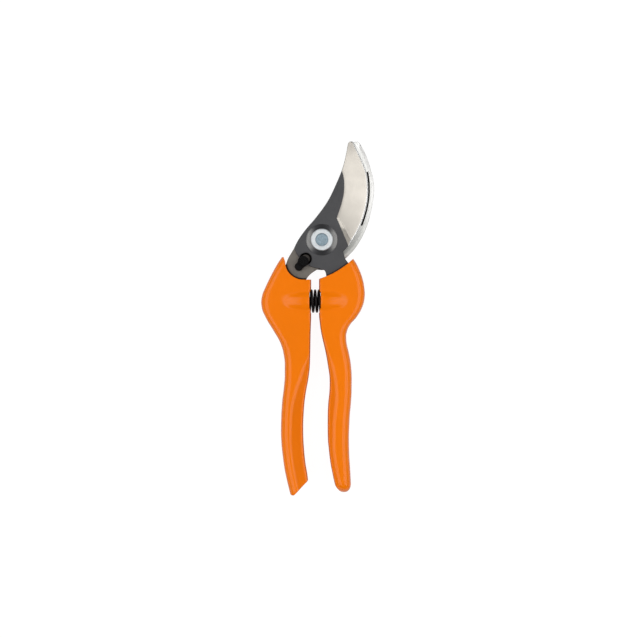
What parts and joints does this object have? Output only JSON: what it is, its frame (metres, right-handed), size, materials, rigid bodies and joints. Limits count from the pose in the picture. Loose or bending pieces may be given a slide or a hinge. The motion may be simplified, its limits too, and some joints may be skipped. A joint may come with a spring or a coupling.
{
  "type": "bypass pruner",
  "caption": "Hand pruner whose ground blade swings past a hooked counter blade, with moulded handles, an opening spring and a sliding catch.",
  "frame": {"origin": "on the pivot axis, at the back face of the pivot bolt and its nut, on which the tool lies", "axes": "+Y from the pivot to the jaw tips, +Z along the pivot axis to the front face with the bolt head, +X to the right seen from the front"},
  "size_m": [0.0638, 0.1991, 0.0156],
  "materials": {
    "coated_steel": "dark low-friction coating on pressed steel, ground bright along the bevel",
    "bare_steel": "ground steel, satin",
    "orange_nylon": "satin glass-fibre reinforced nylon",
    "zinc_plate": "bright zinc plate",
    "black_spring": "black oiled spring steel",
    "black_plastic": "fine matt moulding"
  },
  "bodies": {
    "hook_side": {"counter_blade": "bare_steel", "left_handle": "orange_nylon", "pivot_bolt": "zinc_plate", "pivot_nut": "zinc_plate", "pivot_washer": "zinc_plate", "coil_spring": "black_spring"},
    "blade_side": {"cutting_blade": "coated_steel", "right_handle": "orange_nylon"},
    "catch": {"catch_thumb_button": "black_plastic", "catch_back_button": "black_plastic"}
  },
  "joints": [
    {"name": "jaw_pivot", "type": "hinge", "parent": "hook_side", "child": "blade_side", "pos_m": [0, 0, 0.0078], "axis": [0, 0, 1], "range_deg": [0, 33], "deforming": ["coil_spring"]},
    {"name": "catch_slide", "type": "slide", "parent": "hook_side", "child": "catch", "axis": [0.6508, 0.7593, 0], "range_m": [0, 0.0024]}
  ]
}
